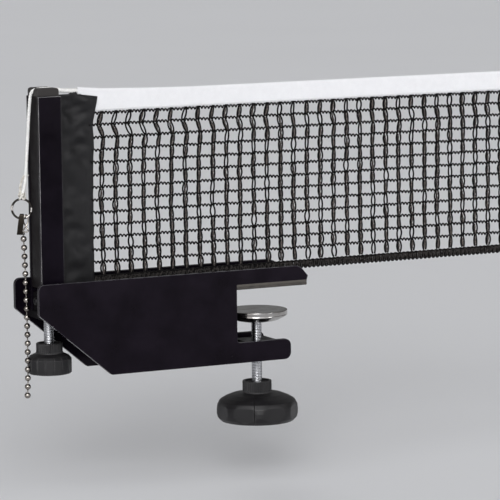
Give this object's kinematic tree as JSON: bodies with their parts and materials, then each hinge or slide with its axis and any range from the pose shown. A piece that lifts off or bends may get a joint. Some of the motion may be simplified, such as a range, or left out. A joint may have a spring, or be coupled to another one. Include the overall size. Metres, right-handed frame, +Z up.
{
  "type": "table tennis net clamp",
  "caption": "Screw clamp with a net post for a table edge: height screw, cord with ring and bead chain, and the net end that the post carries.",
  "frame": {"origin": "on the clamp screw's axis at the face of the upper jaw pad, where the table top lies", "axes": "+X along the net over the table, +Y across the net away from the front side plate, +Z up"},
  "size_m": [0.4558, 0.0592, 0.2622],
  "materials": {
    "gloss_black_enamel": "gloss black stove enamel on pressed steel plate",
    "post_enamel": "satin-gloss black enamel on a steel channel",
    "slider_enamel": "worn satin black enamel",
    "pad_rubber": "matt dark grey-brown rubber",
    "zinc_steel": "bright zinc plate",
    "zinc_rod": "bright zinc plated rolled thread",
    "nut_brass": "turned brass",
    "cap_plastic": "dark grey moulded plastic",
    "knob_plastic": "black moulded plastic, fine satin grain",
    "sleeve_cloth": "fine black woven polyester",
    "net_cord": "knotless black polyester net yarn",
    "white_tape": "white cotton tape",
    "white_cord": "white twisted cotton cord",
    "ring_nickel": "nickel plated wire",
    "clip_bronze": "dark bronze finish",
    "chain_nickel": "nickel plated wire",
    "bead_nickel": "aged nickel on brass beads",
    "disc_chrome": "chrome plated pressed steel"
  },
  "bodies": {
    "bracket": {"front_side_plate": "gloss_black_enamel", "rear_side_plate": "gloss_black_enamel", "upper_jaw_plate": "gloss_black_enamel", "jaw_pad": "pad_rubber", "throat_plate": "gloss_black_enamel", "lower_jaw_plate": "gloss_black_enamel", "clamp_nut": "zinc_steel", "post_foot": "post_enamel", "keeper_screw": "zinc_steel", "post_channel": "post_enamel"},
    "net_carrier": {"slider_bar": "slider_enamel", "slider_nut": "nut_brass", "post_cap": "cap_plastic", "net_rod": "zinc_steel", "net_sleeve": "sleeve_cloth", "net_mesh": "net_cord", "net_tape": "white_tape", "net_band": "net_cord", "tension_cord": "white_cord", "cord_knot": "white_cord"},
    "height_screw": {"height_spindle": "zinc_rod", "height_knob": "knob_plastic", "height_knob_nut": "zinc_steel"},
    "clamp_disc": {"pressure_disc": "disc_chrome", "disc_face": "disc_chrome"},
    "clamp_screw": {"clamp_spindle": "zinc_rod", "tip_ring": "zinc_steel", "clamp_knob": "knob_plastic", "clamp_knob_nut": "zinc_steel"},
    "ring": {"cord_ring": "ring_nickel"},
    "chain": {"chain_clip": "clip_bronze", "chain_link": "chain_nickel", "bead_chain": "bead_nickel"}
  },
  "joints": [
    {"name": "height_screw_turn", "type": "hinge", "parent": "bracket", "child": "height_screw", "pos_m": [-0.1708, 0, -0.042], "axis": [0, 0, 1], "range_deg": [-2881, 0]},
    {"name": "net_height", "type": "slide", "parent": "bracket", "child": "net_carrier", "axis": [0, 0, 1], "range_m": [0, 0.01]},
    {"name": "disc_travel", "type": "slide", "parent": "bracket", "child": "clamp_disc", "axis": [0, 0, 1], "range_m": [-0.01125, 0.01875]},
    {"name": "clamp_screw_turn", "type": "hinge", "parent": "clamp_disc", "child": "clamp_screw", "pos_m": [0, 0, -0.09], "axis": [0, 0, 1], "range_deg": [-3241, 5401]},
    {"name": "ring_swing", "type": "hinge", "parent": "net_carrier", "child": "ring", "pos_m": [-0.1905, 0, 0.0762], "axis": [0.8988, -0.4384, 0], "range_deg": [-60, 0]},
    {"name": "chain_swing", "type": "hinge", "parent": "ring", "child": "chain", "pos_m": [-0.1905, 0, 0.069], "axis": [0.4384, 0.8988, 0], "range_deg": [0, 60]}
  ],
  "couplings": [
    {"joint": "height_screw_turn", "follows": "net_height", "rad_per_m": -5026.5},
    {"joint": "clamp_screw_turn", "follows": "disc_travel", "rad_per_m": 5026.5}
  ]
}
